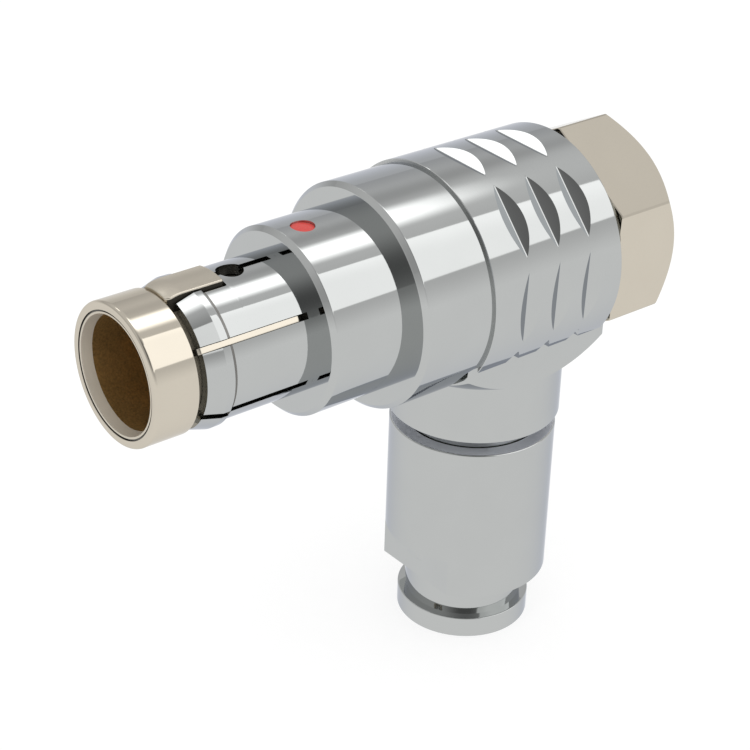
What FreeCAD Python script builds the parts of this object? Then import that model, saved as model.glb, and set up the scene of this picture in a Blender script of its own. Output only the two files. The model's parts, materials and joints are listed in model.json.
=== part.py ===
import FreeCAD, Part
import math
import os
import Sketcher

# Right-angle push-pull circular plug.
# The barrel lies along Y with its nose toward -Y, the cable leaves downward along -Z.
# Millimetres throughout. Every turned piece is a profile of radius against axis position.

DIMS = {
    # height of the barrel axis above the base of the end ring
    "axis_high": 21.35,
    # mating nose of the inner shell
    "nose_rad": 3.50,
    "nose_front_y": -22.00,
    "nose_rear_y": -19.68,
    "nose_round": 0.42,
    "nose_break": 0.14,
    "bore_rad": 2.60,
    "bore_front_y": -21.52,
    "lip_rad": 2.90,
    "lip_y": -21.88,
    "lip_wall": 0.08,
    "lip_step_wid": 0.05,
    "lip_step_dep": 0.10,
    "tube_rad": 2.95,
    "flange_rad": 4.08,
    "flange_front_y": -7.25,
    "flange_rear_y": -5.30,
    # key and side ribs, one with the inner shell
    "key_wid": 1.84,
    "key_top": 3.77,
    "key_rear_y": -16.52,
    "rib_wid": 0.40,
    "rib_top": 3.60,
    "rib_rear_y": -13.78,
    "rib_angle": 60.0,
    # latch sleeve
    "latch_rad": 3.51,
    "latch_bore_rad": 3.00,
    "latch_front_y": -19.20,
    "latch_tip_rad": 3.40,
    "lug_rad": 3.67,
    "lug_front_y": -18.26,
    "lug_rear_y": -17.85,
    "latch_foot_rad": 3.98,
    "latch_foot_y": -12.50,
    "latch_rear_y": -8.40,
    "finger_slit": 0.38,
    "finger_slit_end_y": -13.42,
    "finger_count": 6,
    "key_slot_wid": 2.04,
    "key_slot_end_y": -16.44,
    "rib_slot_wid": 0.52,
    "rib_slot_end_y": -13.32,
    "eye_rad": 0.58,
    "eye_y": -15.58,
    # release sleeve
    "collar_rad": 4.70,
    "collar_face_y": -13.10,
    "brim_fall": 0.17,
    "brim_len": 0.29,
    "collar_lip_rad": 3.55,
    "collar_lip_y": -12.53,
    "collar_bore_rad": 4.00,
    "barrel_rad": 5.74,
    "barrel_face_y": -8.51,
    "grip_rad": 5.91,
    "grip_front_y": -4.26,
    "grip_rear_y": 4.16,
    "grip_rear_bevel": 0.06,
    "sleeve_bore_rad": 5.15,
    "sleeve_bore_y": -7.95,
    "slot_half_wid": 4.82,
    "slot_front_y": -5.06,
    "slot_corner": 0.60,
    "notch_depth": 0.32,
    "notch_half_wid": 0.58,
    "notch_floor": 0.05,
    "notch_first_y": -1.82,
    "notch_pitch": 2.01,
    "notch_rows": 3,
    "notch_around": 8,
    "dot_rad": 0.60,
    "dot_y": -11.54,
    "dot_depth": 0.30,
    "dot_recess": 0.10,
    # elbow body
    "body_rad": 5.10,
    "body_front_y": -7.25,
    "body_rear_y": 4.40,
    "body_bore_rad": 4.10,
    "block_half": 4.60,
    "block_corner_rad": 6.50,
    "block_top_z": -2.00,
    "block_cone_z": -3.97,
    "block_bend_rad": 5.65,
    "block_bend_z": -4.73,
    "neck_rad": 4.55,
    "neck_top_z": -5.38,
    "neck_low_z": -8.60,
    "neck_bevel": 0.13,
    "spigot_rad": 3.55,
    "spigot_low_z": -12.50,
    "down_bore_rad": 3.00,
    # rear cap
    "cap_flat": 5.10,
    "cap_corner_rad": 5.85,
    "cap_turn": -2.2,
    "cap_front_y": 4.60,
    "cap_rear_y": 8.70,
    "cap_plug_rad": 4.05,
    "cap_plug_front_y": 1.20,
    "cap_hollow_rad": 2.60,
    "cap_groove_wid": 0.90,
    "cap_groove_rad": 3.26,
    "cap_floor_y": 6.90,
    # cable nut and what it clamps
    "nut_rad": 4.41,
    "nut_top_z": -9.37,
    "nut_low_z": -18.17,
    "nut_bore_rad": 3.60,
    "nut_mouth_gap": 0.06,
    "nut_mouth_z": -17.30,
    "nut_flat": 3.54,
    "nut_flat_top_z": -16.06,
    "nut_rim_bevel": 0.10,
    "bush_top_rad": 3.36,
    "bush_top_z": -17.34,
    "bush_waist_rad": 3.14,
    "bush_ring_rad": 3.60,
    "bush_ring_top_z": -20.17,
    "bush_low_z": -21.35,
    "cable_rad": 2.10,
    "clamp_rad": 3.54,
    "washer_top_z": -12.54,
    "washer_thick": 0.60,
    "seal_high": 1.60,
    "part_gap": 0.04,
    "collet_low_z": -17.26,
    "collet_slot": 0.40,
    "collet_slots": 4,
    # insulator and contacts
    "insert_rad": 2.57,
    "insert_front_y": -16.80,
    "insert_mid_y": -11.00,
    "insert_rear_y": -6.30,
    "insert_hole_rad": 0.50,
    "contact_circle": 1.45,
    "contact_count": 5,
    "pin_rad": 0.45,
    "pin_tip_y": -18.10,
    "cup_bore_rad": 0.32,
    "cup_rear_y": -3.60,
    "cup_depth": 1.60,
    "lock_ring_wid": 0.90,
    "lock_ring_bore": 2.05,
    # insulating liner and seals
    "liner_rad": 2.95,
    "liner_wall": 0.35,
    "liner_top_z": -4.60,
    "liner_low_z": -12.30,
    "seal_wid": 0.80,
    "seal_gap": 0.02,
    "seal_mid_y": 2.60,
}

TEXT = "Dims."


class Dim:
    """A length that carries its number and the sheet expression it comes from."""

    def __init__(self, value, text):
        self.value = value
        self.text = text

    def _join(self, other, sign, value):
        text = other.text if isinstance(other, Dim) else repr(float(other))
        return Dim(value, "(%s %s %s)" % (self.text, sign, text))

    def __add__(self, other):
        return self._join(other, "+", self.value + number(other))

    def __sub__(self, other):
        return self._join(other, "-", self.value - number(other))

    def __mul__(self, other):
        return self._join(other, "*", self.value * number(other))

    def __neg__(self):
        return Dim(-self.value, "(0 - %s)" % self.text)


def number(item):
    return item.value if isinstance(item, Dim) else float(item)


class Sheet:
    """Looks a driving dimension up by name."""

    def __getattr__(self, name):
        return Dim(DIMS[name], TEXT + name)


d = Sheet()
doc = FreeCAD.newDocument("RightAnglePlug")


def write_sheet():
    sheet = doc.addObject("Spreadsheet::Sheet", "Dims")
    for row, name in enumerate(DIMS, 1):
        sheet.set("A%d" % row, name)
        sheet.set("B%d" % row, str(DIMS[name]))
        sheet.setAlias("B%d" % row, name)
    doc.recompute()


def new_body(label):
    """A body modelled about the crossing of barrel and cable axes, then lifted to stand on its base."""
    body = doc.addObject("PartDesign::Body", "Body")
    body.Label = label
    body.setExpression("Placement.Base.z", "Dims.axis_high")
    return body


def sketch_on(body, plane, name, turn=None):
    """A sketch on one of the body's own origin planes, turned about the sketch's x or y axis."""
    sk = body.newObject("Sketcher::SketchObject", name)
    face = [f for f in body.Origin.OriginFeatures if f.Role == plane][0]
    sk.AttachmentSupport = [(face, "")]
    sk.MapMode = "FlatFace"
    if turn is not None:
        axis, angle = turn
        sk.AttachmentOffset = FreeCAD.Placement(FreeCAD.Vector(), FreeCAD.Rotation(axis, number(angle)))
        if isinstance(angle, Dim):
            sk.setExpression("AttachmentOffset.Rotation.Angle", angle.text)
    return sk


def hold_point(sk, geo, end, x, y):
    for kind, item in (("DistanceX", x), ("DistanceY", y)):
        value = number(item)
        if abs(value) < 1e-9 and not isinstance(item, Dim):
            sk.addConstraint(Sketcher.Constraint("PointOnObject", geo, end, -2 if kind == "DistanceX" else -1))
            continue
        at = sk.addConstraint(Sketcher.Constraint(kind, -1, 1, geo, end, value))
        if isinstance(item, Dim):
            sk.setExpression("Constraints[%d]" % at, item.text)


def outline(sk, points):
    """Closed outline. A point is (x, y); (x, y, cx, cy) reaches its point along an arc about (cx, cy)."""
    ends = []
    for i, point in enumerate(points):
        before = points[i - 1]
        a = FreeCAD.Vector(number(before[0]), number(before[1]), 0)
        b = FreeCAD.Vector(number(point[0]), number(point[1]), 0)
        if len(point) == 2:
            geo = sk.addGeometry(Part.LineSegment(a, b), False)
            ends.append((geo, 1, 2))
            continue
        c = FreeCAD.Vector(number(point[2]), number(point[3]), 0)
        start = math.atan2(a.y - c.y, a.x - c.x)
        stop = math.atan2(b.y - c.y, b.x - c.x)
        ccw = (stop - start) % (2 * math.pi) < math.pi
        circle = Part.Circle(c, FreeCAD.Vector(0, 0, 1), (a - c).Length)
        first, last = (start, stop) if ccw else (stop, start)
        geo = sk.addGeometry(Part.ArcOfCircle(circle, first, last), False)
        ends.append((geo, 1, 2) if ccw else (geo, 2, 1))
        at = sk.addConstraint(Sketcher.Constraint("DistanceX", -1, 1, geo, 3, c.x))
        if isinstance(point[2], Dim):
            sk.setExpression("Constraints[%d]" % at, point[2].text)
    for i, point in enumerate(points):
        geo, _, end = ends[i]
        nxt, start, _ = ends[(i + 1) % len(points)]
        sk.addConstraint(Sketcher.Constraint("Coincident", geo, end, nxt, start))
        hold_point(sk, geo, end, point[0], point[1])
    return sk


def circle(sk, x, y, rad):
    geo = sk.addGeometry(Part.Circle(FreeCAD.Vector(number(x), number(y), 0), FreeCAD.Vector(0, 0, 1), rad.value))
    hold_point(sk, geo, 3, x, y)
    at = sk.addConstraint(Sketcher.Constraint("Radius", geo, rad.value))
    sk.setExpression("Constraints[%d]" % at, rad.text)
    return sk


def turned(body, plane, points, cut=False, name="Profile"):
    """Turn an outline of (radius, position) about the sketch's vertical axis."""
    sk = outline(sketch_on(body, plane, name), points)
    feature = body.newObject("PartDesign::Groove" if cut else "PartDesign::Revolution", "Turn")
    feature.Profile = sk
    feature.ReferenceAxis = (sk, ["V_Axis"])
    feature.Angle = 360.0
    return feature


def cut_through(body, sk, length, both=False, up=False):
    pocket = body.newObject("PartDesign::Pocket", "Cut")
    pocket.Profile = sk
    pocket.Type = 0
    pocket.Length = number(length)
    pocket.Midplane = both
    pocket.Reversed = up
    return pocket


def pad(body, sk, length, both=False):
    feature = body.newObject("PartDesign::Pad", "Pad")
    feature.Profile = sk
    feature.Length = number(length)
    feature.setExpression("Length", length.text)
    feature.Midplane = both
    return feature


def around(body, features, axis, count):
    """Repeat features evenly around one of the body's own axes."""
    pattern = body.newObject("PartDesign::PolarPattern", "Around")
    pattern.Originals = features
    line = [f for f in body.Origin.OriginFeatures if f.Role == axis][0]
    pattern.Axis = (line, [""])
    pattern.Angle = 360.0
    pattern.Occurrences = int(number(count))
    pattern.setExpression("Occurrences", count.text)
    body.Tip = pattern
    return pattern


def box_outline(x0, x1, y0, y1):
    return [(x0, y0), (x1, y0), (x1, y1), (x0, y1)]


X_AXIS = FreeCAD.Vector(1, 0, 0)
Z_AXIS = FreeCAD.Vector(0, 0, 1)
Y_AXIS = FreeCAD.Vector(0, 1, 0)


def inner_shell():
    body = new_body("inner_shell")
    step_in = d.lip_rad + d.lip_wall
    step_out = step_in + d.lip_step_wid
    front_in = d.nose_rad - d.nose_round
    turned(body, "XY_Plane", [
        (d.bore_rad, d.bore_front_y),
        (d.lip_rad, d.lip_y),
        (step_in, d.lip_y),
        (step_in, d.lip_y + d.lip_step_dep),
        (step_out, d.lip_y + d.lip_step_dep),
        (step_out, d.nose_front_y),
        (front_in, d.nose_front_y),
        (d.nose_rad - d.nose_break, d.nose_front_y + d.nose_break),
        (d.nose_rad, d.nose_front_y + d.nose_round),
        (d.nose_rad, d.nose_rear_y),
        (d.tube_rad, d.nose_rear_y),
        (d.tube_rad, d.flange_front_y),
        (d.flange_rad, d.flange_front_y),
        (d.flange_rad, d.flange_rear_y),
        (d.bore_rad, d.flange_rear_y),
    ])
    root = d.tube_rad - 0.15
    # YZ sketch: x runs along the barrel, y is the height
    key = outline(sketch_on(body, "YZ_Plane", "Key"), [
        (d.nose_rear_y - 0.30, root),
        (d.key_rear_y, root),
        (d.key_rear_y, d.key_top + 0.20),
        (d.nose_rear_y + 0.50, d.key_top + 0.20),
        (d.nose_rear_y - 0.20, d.nose_rad - 0.05),
    ])
    pad(body, key, d.key_wid, both=True)
    turned(body, "XY_Plane",
           box_outline(d.key_top, d.key_top + 1.0, d.nose_rear_y + 0.05, d.key_rear_y + 0.5), cut=True)
    for side in (1, -1):
        rib = outline(sketch_on(body, "YZ_Plane", "Rib", (X_AXIS, d.rib_angle * side)), [
            (d.nose_rear_y - 0.30, root),
            (d.rib_rear_y, root),
            (d.rib_rear_y, d.rib_top),
            (d.latch_front_y, d.rib_top),
            (d.nose_rear_y - 0.30, d.nose_rad - 0.10),
        ])
        pad(body, rib, d.rib_wid, both=True)
    return body


def latch_sleeve():
    body = new_body("latch_sleeve")
    turned(body, "XY_Plane", [
        (d.latch_bore_rad, d.latch_front_y),
        (d.latch_tip_rad, d.latch_front_y),
        (d.lug_rad, d.lug_front_y),
        (d.lug_rad, d.lug_rear_y),
        (d.latch_rad, d.lug_rear_y),
        (d.latch_rad, d.latch_foot_y),
        (d.latch_foot_rad, d.latch_foot_y),
        (d.latch_foot_rad, d.latch_rear_y),
        (d.latch_bore_rad, d.latch_rear_y),
    ])
    half = d.finger_slit * 0.5
    slit = outline(sketch_on(body, "XY_Plane", "Slit"),
                   box_outline(-half, half, d.latch_front_y - 1.0, d.finger_slit_end_y))
    cut = cut_through(body, slit, 6.0, up=True)
    around(body, [cut], "Y_Axis", d.finger_count)
    wide = d.key_slot_wid * 0.5
    keyway = outline(sketch_on(body, "XY_Plane", "Keyway"),
                     box_outline(-wide, wide, d.latch_front_y - 1.0, d.key_slot_end_y))
    cut_through(body, keyway, 6.0, up=True)
    eye = circle(sketch_on(body, "XY_Plane", "Eye"), 0, d.eye_y, d.eye_rad)
    cut_through(body, eye, 6.0, up=True)
    for side in (1, -1):
        wide = d.rib_slot_wid * 0.5
        way = outline(sketch_on(body, "XY_Plane", "Ribway", (Y_AXIS, d.rib_angle * side)),
                      box_outline(-wide, wide, d.latch_front_y - 1.0, d.rib_slot_end_y))
        cut_through(body, way, 6.0, up=True)
    return body


def release_sleeve():
    body = new_body("release_sleeve")
    edge = d.collar_rad - d.brim_fall
    brim = d.barrel_rad - d.brim_fall
    turned(body, "XY_Plane", [
        (d.collar_lip_rad, d.collar_face_y),
        (edge, d.collar_face_y),
        (d.collar_rad, d.collar_face_y + d.brim_len),
        (d.collar_rad, d.barrel_face_y),
        (brim, d.barrel_face_y),
        (d.barrel_rad, d.barrel_face_y + d.brim_len),
        (d.barrel_rad, d.grip_front_y),
        (d.grip_rad, d.grip_front_y),
        (d.grip_rad, d.grip_rear_y - d.grip_rear_bevel),
        (d.grip_rad - d.grip_rear_bevel, d.grip_rear_y),
        (d.sleeve_bore_rad, d.grip_rear_y),
        (d.sleeve_bore_rad, d.sleeve_bore_y),
        (d.collar_bore_rad, d.sleeve_bore_y),
        (d.collar_bore_rad, d.collar_lip_y),
        (d.collar_lip_rad, d.collar_lip_y),
    ])
    # saddle slot for the elbow block, open to the rear
    wide, front, corner = d.slot_half_wid, d.slot_front_y, d.slot_corner
    slot = outline(sketch_on(body, "XY_Plane", "Saddle"), [
        (wide - corner, front),
        (wide, front + corner, wide - corner, front + corner),
        (wide, 8.0),
        (-wide, 8.0),
        (-wide, front + corner),
        (corner - wide, front, corner - wide, front + corner),
    ])
    cut_through(body, slot, 8.0)
    dot = circle(sketch_on(body, "XY_Plane", "Dot"), 0, d.dot_y, d.dot_rad)
    floor = d.collar_rad - d.dot_depth
    dot.AttachmentOffset = FreeCAD.Placement(FreeCAD.Vector(0, 0, floor.value), FreeCAD.Rotation())
    dot.setExpression("AttachmentOffset.Base.z", floor.text)
    cut_through(body, dot, 2.0, up=True)
    # grip notches: V cuts square to the barrel axis
    notches = []
    for row in range(int(DIMS["notch_rows"])):
        mid = d.notch_first_y + d.notch_pitch * row
        low = d.grip_rad - d.notch_depth
        over = 0.20
        flare = d.notch_half_wid * (1.0 + over / DIMS["notch_depth"])
        vee = outline(sketch_on(body, "YZ_Plane", "Vee"), [
            (mid - d.notch_floor, low),
            (mid + d.notch_floor, low),
            (mid + flare, d.grip_rad + over),
            (mid - flare, d.grip_rad + over),
        ])
        notches.append(cut_through(body, vee, 9.0, both=True))
    around(body, notches, "Y_Axis", d.notch_around)
    return body


def red_dot():
    body = new_body("red_dot")
    sk = circle(sketch_on(body, "XY_Plane", "Disc"), 0, d.dot_y, d.dot_rad - 0.01)
    floor = d.collar_rad - d.dot_depth + 0.01
    sk.AttachmentOffset = FreeCAD.Placement(FreeCAD.Vector(0, 0, floor.value), FreeCAD.Rotation())
    sk.setExpression("AttachmentOffset.Base.z", floor.text)
    pad(body, sk, d.dot_depth - d.dot_recess)
    return body


def elbow_body():
    body = new_body("elbow_body")
    turned(body, "XZ_Plane", [
        (d.down_bore_rad, d.block_top_z),
        (d.block_corner_rad, d.block_top_z),
        (d.block_corner_rad, d.block_cone_z),
        (d.block_bend_rad, d.block_bend_z),
        (d.neck_rad, d.neck_top_z),
        (d.neck_rad, d.neck_low_z + d.neck_bevel),
        (d.neck_rad - d.neck_bevel, d.neck_low_z),
        (d.spigot_rad, d.neck_low_z),
        (d.spigot_rad, d.spigot_low_z),
        (d.down_bore_rad, d.spigot_low_z),
    ])
    # flats that square the block
    side = outline(sketch_on(body, "XZ_Plane", "Side"),
                   box_outline(d.block_half, 9.0, d.neck_top_z - 0.5, 1.0))
    cut = cut_through(body, side, 20.0, both=True)
    around(body, [cut], "Z_Axis", Dim(4, "4"))
    turned(body, "XY_Plane", box_outline(d.body_bore_rad, d.body_rad, d.body_front_y, d.body_rear_y))
    turned(body, "XY_Plane", box_outline(0, d.body_bore_rad, d.body_front_y - 2.0, d.body_rear_y + 2.0),
           cut=True)
    turned(body, "XZ_Plane", box_outline(0, d.down_bore_rad, d.spigot_low_z - 1.0, -1.0), cut=True)
    return body


def rear_cap():
    body = new_body("rear_cap")
    bevel = d.cap_corner_rad - d.cap_flat
    half = d.cap_groove_wid * 0.5
    turned(body, "XY_Plane", [
        (0, d.cap_floor_y),
        (d.cap_hollow_rad, d.cap_floor_y),
        (d.cap_hollow_rad, d.cap_plug_front_y),
        (d.cap_plug_rad, d.cap_plug_front_y),
        (d.cap_plug_rad, d.seal_mid_y - half),
        (d.cap_groove_rad, d.seal_mid_y - half),
        (d.cap_groove_rad, d.seal_mid_y + half),
        (d.cap_plug_rad, d.seal_mid_y + half),
        (d.cap_plug_rad, d.cap_front_y),
        (d.cap_corner_rad, d.cap_front_y),
        (d.cap_corner_rad, d.cap_rear_y - bevel),
        (d.cap_flat, d.cap_rear_y),
        (0, d.cap_rear_y),
    ])
    flat = outline(sketch_on(body, "XZ_Plane", "Flat", (Z_AXIS, d.cap_turn)),
                   box_outline(d.cap_flat, 9.0, -9.0, 9.0))
    face = cut_through(body, flat, 40.0, both=True)
    around(body, [face], "Y_Axis", Dim(6, "6"))
    return body


def collet_nut():
    body = new_body("collet_nut")
    mouth = d.bush_top_rad + d.nut_mouth_gap
    turned(body, "XZ_Plane", [
        (d.nut_bore_rad, d.nut_top_z),
        (d.nut_rad - d.nut_rim_bevel, d.nut_top_z),
        (d.nut_rad, d.nut_top_z - d.nut_rim_bevel),
        (d.nut_rad, d.nut_low_z),
        (mouth, d.nut_low_z),
        (mouth, d.nut_mouth_z),
        (d.nut_bore_rad, d.nut_mouth_z + (d.nut_bore_rad - mouth)),
    ])
    for side in (1, -1):
        flat = outline(sketch_on(body, "YZ_Plane", "Flat"),
                       box_outline(d.nut_flat * side, 9.0 * side, -19.5, d.nut_flat_top_z))
        cut_through(body, flat, 20.0, both=True)
    return body


def cable_bushing():
    body = new_body("cable_bushing")
    turned(body, "XZ_Plane", [
        (d.cable_rad, d.bush_top_z),
        (d.bush_top_rad, d.bush_top_z),
        (d.bush_top_rad, d.nut_low_z + 0.1),
        (d.bush_waist_rad, d.bush_ring_top_z),
        (d.bush_ring_rad, d.bush_ring_top_z),
        (d.bush_ring_rad, d.bush_low_z),
        (d.cable_rad, d.bush_low_z),
    ])
    return body


def clamp_stack():
    """Washer, rubber seal and slotted collet, one above another inside the cable nut."""
    top = d.washer_top_z
    low = top - d.washer_thick
    washer = new_body("clamp_washer")
    turned(washer, "XZ_Plane", box_outline(d.cable_rad + 0.1, d.clamp_rad, low, top))
    seal_top = low - d.part_gap
    seal_low = seal_top - d.seal_high
    seal = new_body("cable_seal")
    turned(seal, "XZ_Plane", box_outline(d.cable_rad, d.clamp_rad - 0.04, seal_low, seal_top))
    grip_top = seal_low - d.part_gap
    collet = new_body("collet")
    turned(collet, "XZ_Plane", [
        (d.cable_rad, d.collet_low_z),
        (d.clamp_rad - 0.55, d.collet_low_z),
        (d.clamp_rad, d.collet_low_z + 1.1),
        (d.clamp_rad, grip_top),
        (d.cable_rad, grip_top),
    ])
    half = d.collet_slot * 0.5
    slot = outline(sketch_on(collet, "XZ_Plane", "Slot"),
                   box_outline(-half, half, d.collet_low_z - 1.0, grip_top - 0.8))
    cut = cut_through(collet, slot, 6.0)
    around(collet, [cut], "Z_Axis", d.collet_slots)
    return [washer, seal, collet]


def insert_half(label, front, rear):
    """One half of the contact carrier, bored for every contact."""
    body = new_body(label)
    turned(body, "XY_Plane", box_outline(0, d.insert_rad, front, rear))
    hole = circle(sketch_on(body, "XZ_Plane", "Hole"), 0, d.contact_circle, d.insert_hole_rad)
    cut = cut_through(body, hole, 60.0, both=True)
    around(body, [cut], "Y_Axis", d.contact_count)
    return body


def contact(index):
    """Turned pin with a solder cup, placed on the contact circle."""
    body = new_body("contact_pin_%d" % (index + 1))
    turned(body, "XY_Plane", [
        (0, d.pin_tip_y),
        (d.pin_rad, d.pin_tip_y),
        (d.pin_rad, d.cup_rear_y),
        (d.cup_bore_rad, d.cup_rear_y),
        (d.cup_bore_rad, d.cup_rear_y - d.cup_depth),
        (0, d.cup_rear_y - d.cup_depth),
    ])
    angle = math.radians(90.0 + index * 360.0 / DIMS["contact_count"])
    body.setExpression("Placement.Base.x", "Dims.contact_circle * %.12f" % math.cos(angle))
    body.setExpression("Placement.Base.z", "Dims.axis_high + Dims.contact_circle * %.12f" % math.sin(angle))
    return body


def lock_ring():
    body = new_body("insert_lock_ring")
    rear = d.insert_rear_y + d.part_gap + d.lock_ring_wid
    turned(body, "XY_Plane", box_outline(d.lock_ring_bore, d.insert_rad, d.insert_rear_y + d.part_gap, rear))
    return body


def liner():
    body = new_body("insulating_liner")
    turned(body, "XZ_Plane",
           box_outline(d.liner_rad - d.liner_wall, d.liner_rad, d.liner_low_z, d.liner_top_z))
    return body


def cap_seal():
    """Square-section sealing ring in the cap's groove, touching the elbow's bore."""
    body = new_body("cap_seal")
    inner = d.cap_groove_rad + d.seal_gap
    outer = d.body_bore_rad - d.seal_gap
    half = d.seal_wid * 0.5
    turned(body, "XY_Plane", box_outline(inner, outer, d.seal_mid_y - half, d.seal_mid_y + half))
    return body


def build():
    write_sheet()
    parts = [inner_shell(), latch_sleeve(), release_sleeve(), red_dot(), elbow_body(), rear_cap()]
    parts += [collet_nut(), cable_bushing()]
    parts += clamp_stack()
    parts += [insert_half("insulator_front", d.insert_front_y, d.insert_mid_y)]
    parts += [insert_half("insulator_rear", d.insert_mid_y + d.part_gap, d.insert_rear_y)]
    parts += [contact(i) for i in range(int(DIMS["contact_count"]))]
    parts += [lock_ring(), liner(), cap_seal()]
    doc.recompute()
    return parts


def write_parts(parts):
    os.makedirs("parts", exist_ok=True)
    for item in doc.Objects:
        if "Invalid" in item.State or "Error" in item.State:
            raise RuntimeError("%s of %s did not build" % (item.Name, item.Label))
    for body in parts:
        shape = body.Shape
        if shape.isNull() or not shape.isValid() or len(shape.Solids) != 1:
            raise RuntimeError("%s is not one valid solid" % body.Label)
        shape.exportStep("parts/%s.step" % body.Label)


write_parts(build())
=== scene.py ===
import json
import math

import bmesh
import bpy
import numpy as np
from mathutils import Matrix


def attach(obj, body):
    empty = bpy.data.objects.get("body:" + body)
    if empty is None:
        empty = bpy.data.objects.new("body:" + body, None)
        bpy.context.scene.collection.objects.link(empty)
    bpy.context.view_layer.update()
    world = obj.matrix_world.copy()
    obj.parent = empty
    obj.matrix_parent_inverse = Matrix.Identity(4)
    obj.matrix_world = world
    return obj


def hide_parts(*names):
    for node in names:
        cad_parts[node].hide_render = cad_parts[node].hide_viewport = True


bl_info = {
    "name": "Right-angle plug looks",
    "version": (1, 0, 0),
    "blender": (4, 5, 0),
    "location": "View3D > Sidebar > Plug",
    "description": "Surfaces, metal finishes and a plain studio for a right-angle push-pull plug",
    "category": "Object",
}

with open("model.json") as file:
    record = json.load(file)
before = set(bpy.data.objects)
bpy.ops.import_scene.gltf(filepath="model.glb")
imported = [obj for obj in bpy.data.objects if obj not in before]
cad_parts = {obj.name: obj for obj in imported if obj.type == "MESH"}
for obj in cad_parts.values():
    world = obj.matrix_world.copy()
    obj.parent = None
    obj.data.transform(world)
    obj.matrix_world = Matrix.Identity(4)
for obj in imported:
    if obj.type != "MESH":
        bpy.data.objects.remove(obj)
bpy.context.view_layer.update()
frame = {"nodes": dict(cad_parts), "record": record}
MM = 0.001
QUARTER, TURN = math.pi / 2, 2 * math.pi
# Height of the barrel's axis over the floor, in metres
AXIS = next(m["pos_m"][2] for m in frame["record"]["mounts"] if m["name"] == "plug_nose")
FIXED = "plug_body"
MOVING = "latch_release"

# Millimetres: places along the barrel, counted from the cable's axis, and radii about the barrel
FUNNEL_END, FUNNEL_LIP = -21.36, -21.91
BORE_MOUTH, FUNNEL_MOUTH = 2.78, 2.90
GROOVE_IN, GROOVE_OUT, GROOVE_FLOOR = 3.00, 3.08, -21.86
RING_BACK = -19.68
TUBE, DAYLIGHT_END, TUBE_END = 2.95, -18.30, -7.25
LUG_BACK, LUG_CORNER = -17.85, -17.65
FINGER_BORE = 3.00
SLIT_END = -13.38
DOT_PLACE = -11.54
GRIP_FACE = -4.26
KEY_LEAD = 3.61
# Millimetres: top of the cable nut, counted from the barrel's axis
NUT_TOP = -9.37
# Degrees: turn of the dot and the notches, and of the rear cap, about the barrel
SPIN, CAP_SPIN = -1.65, -2.2


# Sizes and colours

def length(name, millimetres, words):
    """A length property, stored in metres."""
    return bpy.props.FloatProperty(name=name, description=words, default=millimetres * MM,
                                   unit="LENGTH", subtype="DISTANCE", precision=6)


def tint(name, colour, words):
    """A linear colour property."""
    return bpy.props.FloatVectorProperty(name=name, description=words, default=colour, size=3,
                                         subtype="COLOR", min=0.0, max=1.0)


def light(name, value, words):
    """A brightness, where 1 is white."""
    return bpy.props.FloatProperty(name=name, description="Brightness of " + words, default=value, min=0.0,
                                   max=6.0)


class PlugSizes(bpy.types.PropertyGroup):
    """Main sizes of the turned and milled pieces."""

    nose: length("Nose radius", 3.50, "Outer radius of the nose ring")
    nose_bore: length("Nose bore", 2.60, "Radius of the hole in the nose")
    latch: length("Latch radius", 3.51, "Outer radius of the spring fingers")
    lug: length("Lug radius", 3.67, "Outer radius of the latch lugs")
    collar: length("Collar radius", 4.70, "Front part of the release sleeve")
    barrel: length("Barrel radius", 5.74, "Middle part of the release sleeve")
    grip: length("Grip radius", 5.91, "Notched part of the release sleeve")
    notch: length("Notch depth", 0.32, "Depth of the grip notches")
    slot_half: length("Saddle half width", 4.82, "Half width of the sleeve's cut-out")
    dot: length("Dot radius", 0.60, "Radius of the alignment dot")
    block: length("Block half width", 4.60, "Half width of the elbow's square block")
    neck: length("Neck radius", 4.55, "Round neck below the block")
    cap_flat: length("Cap flat", 5.10, "Axis to flat of the hexagonal cap")
    cap_corner: length("Cap corner", 5.85, "Turned corners of the hexagonal cap")
    nut: length("Nut radius", 4.41, "Outer radius of the cable nut")
    nut_flat: length("Nut flat", 3.54, "Axis to wrench flat of the cable nut")


class PlugFinish(bpy.types.PropertyGroup):
    """Colours and gloss of the finishes."""

    chrome: tint("Chrome", (0.488, 0.499, 0.493), "Satin bright chrome plating")
    chrome_edge: tint("Chrome at the edge", (0.70, 0.72, 0.78), "Tint of chrome seen at a slant")
    nickel: tint("Nickel", (0.605, 0.555, 0.470), "Warm nickel plating")
    nickel_edge: tint("Nickel at the edge", (0.80, 0.79, 0.77), "Tint of nickel seen at a slant")
    bore: tint("Nose bore", (0.46, 0.30, 0.115), "Dull gilt inside the nose")
    # Painted shade: the tube's near-black colour stands in for the shade deep behind the fingers
    tube: tint("Tube", (0.034, 0.030, 0.022), "Dark tube behind the fingers")
    # Painted light: a lighter copy of the tube's colour where daylight reaches its end in the gap
    gap: tint("Tube in the gap", (0.20, 0.178, 0.135), "The tube's end, which daylight reaches")
    step: tint("Step", (0.50, 0.51, 0.505), "Plating on the grip's low step")
    # Painted shade: a dark colour put into narrow corners and grooves where shade falls
    line: tint("Corner", (0.200, 0.194, 0.184), "Plating in narrow corners")
    dot: tint("Dot", (0.232, 0.008, 0.009), "Red enamel of the alignment dot")
    insulator: tint("Insulator", (0.060, 0.034, 0.014), "Brown moulded contact carrier")
    gold: tint("Contact", (0.83, 0.56, 0.20), "Gold plated contacts")
    gold_edge: tint("Contact at the edge", (0.90, 0.85, 0.70), "Tint of gold seen at a slant")
    brass: tint("Brass", (0.60, 0.44, 0.18), "Turned brass inside the nut")
    brass_edge: tint("Brass at the edge", (0.90, 0.86, 0.75), "Tint of brass seen at a slant")
    liner: tint("Liner", (0.72, 0.71, 0.66), "Insulating tube in the bend")
    rubber: tint("Seal", (0.022, 0.022, 0.024), "Black sealing rubber")
    gloss: bpy.props.FloatProperty(name="Roughness", description="Roughness of the smoothest plated metal",
                                   default=0.045, min=0.0, max=1.0)


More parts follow.
